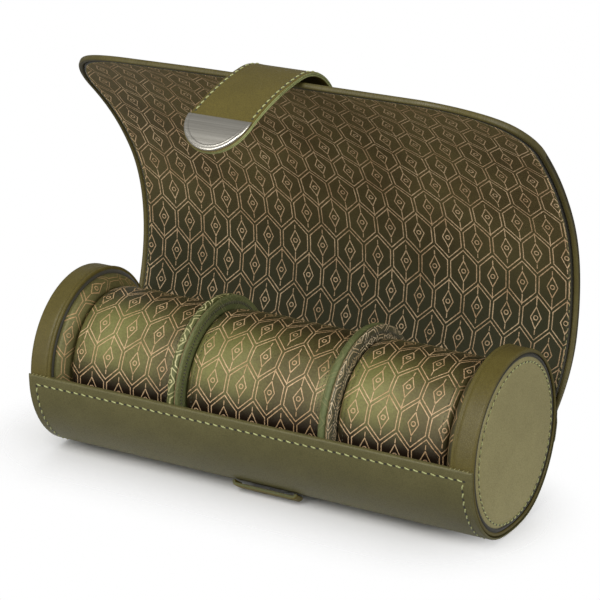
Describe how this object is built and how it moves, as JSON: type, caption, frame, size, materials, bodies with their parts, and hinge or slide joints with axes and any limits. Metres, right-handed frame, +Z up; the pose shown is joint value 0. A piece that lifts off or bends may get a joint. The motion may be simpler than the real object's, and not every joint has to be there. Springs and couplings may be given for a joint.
{
  "type": "watch travel case",
  "caption": "Leather-covered half tube with padded compartments and lift-out cushions, a wrap-over lid and a closing strap with a metal tip.",
  "frame": {"origin": "centre of the flat that the tube rests on", "axes": "+X along the tube, +Z up, -Y toward the open front where the cushions are reached"},
  "size_m": [0.2574, 0.147, 0.2223],
  "materials": {
    "olive_leather": "satin",
    "rim_leather": "satin",
    "disc_leather": "satin",
    "strap_leather": "satin",
    "strap_backing": "matte",
    "brushed_cap": "satin",
    "stiff_board": "matte",
    "foam": "matte",
    "divider_fabric": "satin",
    "satin_lining": "satin"
  },
  "bodies": {
    "tube": {"shell_leather": "olive_leather", "shell_board": "stiff_board", "shell_lining": "satin_lining", "hinge_strip": "olive_leather", "keeper": "strap_backing", "end_core_left": "stiff_board", "end_rim_left": "rim_leather", "end_disc_left": "disc_leather", "inner_disc_left": "divider_fabric", "end_core_right": "stiff_board", "end_rim_right": "rim_leather", "end_disc_right": "disc_leather", "inner_disc_right": "divider_fabric", "divider_core_1": "stiff_board", "divider_face_1a": "divider_fabric", "divider_face_1b": "divider_fabric", "divider_core_2": "stiff_board", "divider_face_2a": "divider_fabric", "divider_face_2b": "divider_fabric", "floor_pad_1": "foam", "floor_pad_2": "foam", "floor_pad_3": "foam"},
    "cushion_1": {"cushion_core_1": "foam", "cushion_cover_1": "satin_lining"},
    "cushion_2": {"cushion_core_2": "foam", "cushion_cover_2": "satin_lining"},
    "cushion_3": {"cushion_core_3": "foam", "cushion_cover_3": "satin_lining"},
    "lid_1": {"lid_leather_1": "olive_leather", "lid_board_1": "stiff_board", "lid_lining_1": "satin_lining"},
    "lid_2": {"lid_leather_2": "olive_leather", "lid_board_2": "stiff_board", "lid_lining_2": "satin_lining"},
    "lid_3": {"lid_leather_3": "olive_leather", "lid_board_3": "stiff_board", "lid_lining_3": "satin_lining"},
    "lid_4": {"lid_leather_4": "olive_leather", "lid_board_4": "stiff_board", "lid_lining_4": "satin_lining"},
    "lid_5": {"lid_leather_5": "olive_leather", "lid_board_5": "stiff_board", "lid_lining_5": "satin_lining", "strap_root": "strap_leather"},
    "lid_6": {"lid_leather_6": "olive_leather", "lid_board_6": "stiff_board", "lid_lining_6": "satin_lining"},
    "strap_1": {"strap_back_1": "strap_backing", "strap_face_1": "strap_leather"},
    "strap_2": {"strap_back_2": "strap_backing", "strap_face_2": "strap_leather"},
    "strap_3": {"strap_back_3": "strap_backing", "strap_face_3": "strap_leather", "strap_cap": "brushed_cap"}
  },
  "joints": [
    {"name": "lid_hinge", "type": "hinge", "parent": "tube", "child": "lid_1", "pos_m": [0, 0.0485, 0.046], "axis": [1, 0, 0], "range_deg": [0, 26]},
    {"name": "lid_fold_1", "type": "hinge", "parent": "lid_1", "child": "lid_2", "pos_m": [0, 0.06078, 0.07798], "axis": [1, 0, 0], "range_deg": [0, 35]},
    {"name": "lid_fold_2", "type": "hinge", "parent": "lid_2", "child": "lid_3", "pos_m": [0, 0.06227, 0.11219], "axis": [1, 0, 0], "range_deg": [0, 15]},
    {"name": "lid_fold_3", "type": "hinge", "parent": "lid_3", "child": "lid_4", "pos_m": [0, 0.05115, 0.14448], "axis": [1, 0, 0], "range_deg": [0, 18]},
    {"name": "lid_fold_4", "type": "hinge", "parent": "lid_4", "child": "lid_5", "pos_m": [0, 0.03049, 0.17191], "axis": [1, 0, 0], "range_deg": [0, 27]},
    {"name": "lid_fold_5", "type": "hinge", "parent": "lid_5", "child": "lid_6", "pos_m": [0, 0.00515, 0.19512], "axis": [1, 0, 0], "range_deg": [0, 29]},
    {"name": "strap_fold_1", "type": "hinge", "parent": "lid_5", "child": "strap_1", "pos_m": [0, 0.00997, 0.19873], "axis": [1, 0, 0], "range_deg": [0, 27]},
    {"name": "strap_fold_2", "type": "hinge", "parent": "strap_1", "child": "strap_2", "pos_m": [0, -0.02298, 0.22], "axis": [1, 0, 0], "range_deg": [-2, 0]},
    {"name": "strap_tip", "type": "hinge", "parent": "strap_2", "child": "strap_3", "pos_m": [0, -0.06596, 0.2098], "axis": [1, 0, 0], "range_deg": [-55, 0]},
    {"name": "cushion_lift_1", "type": "slide", "parent": "tube", "child": "cushion_1", "axis": [0, 0, -1], "range_m": [-0.062, 0]},
    {"name": "cushion_lift_2", "type": "slide", "parent": "tube", "child": "cushion_2", "axis": [0, 0, -1], "range_m": [-0.062, 0]},
    {"name": "cushion_lift_3", "type": "slide", "parent": "tube", "child": "cushion_3", "axis": [0, 0, -1], "range_m": [-0.062, 0]}
  ],
  "couplings": [
    {"joint": "lid_fold_1", "follows": "lid_hinge", "ratio": 1.3462},
    {"joint": "lid_fold_2", "follows": "lid_hinge", "ratio": 0.57692},
    {"joint": "lid_fold_3", "follows": "lid_hinge", "ratio": 0.69231},
    {"joint": "lid_fold_4", "follows": "lid_hinge", "ratio": 1.0385},
    {"joint": "lid_fold_5", "follows": "lid_hinge", "ratio": 1.1154},
    {"joint": "strap_fold_1", "follows": "lid_hinge", "ratio": 1.0385},
    {"joint": "strap_fold_2", "follows": "lid_hinge", "ratio": -0.076923}
  ]
}
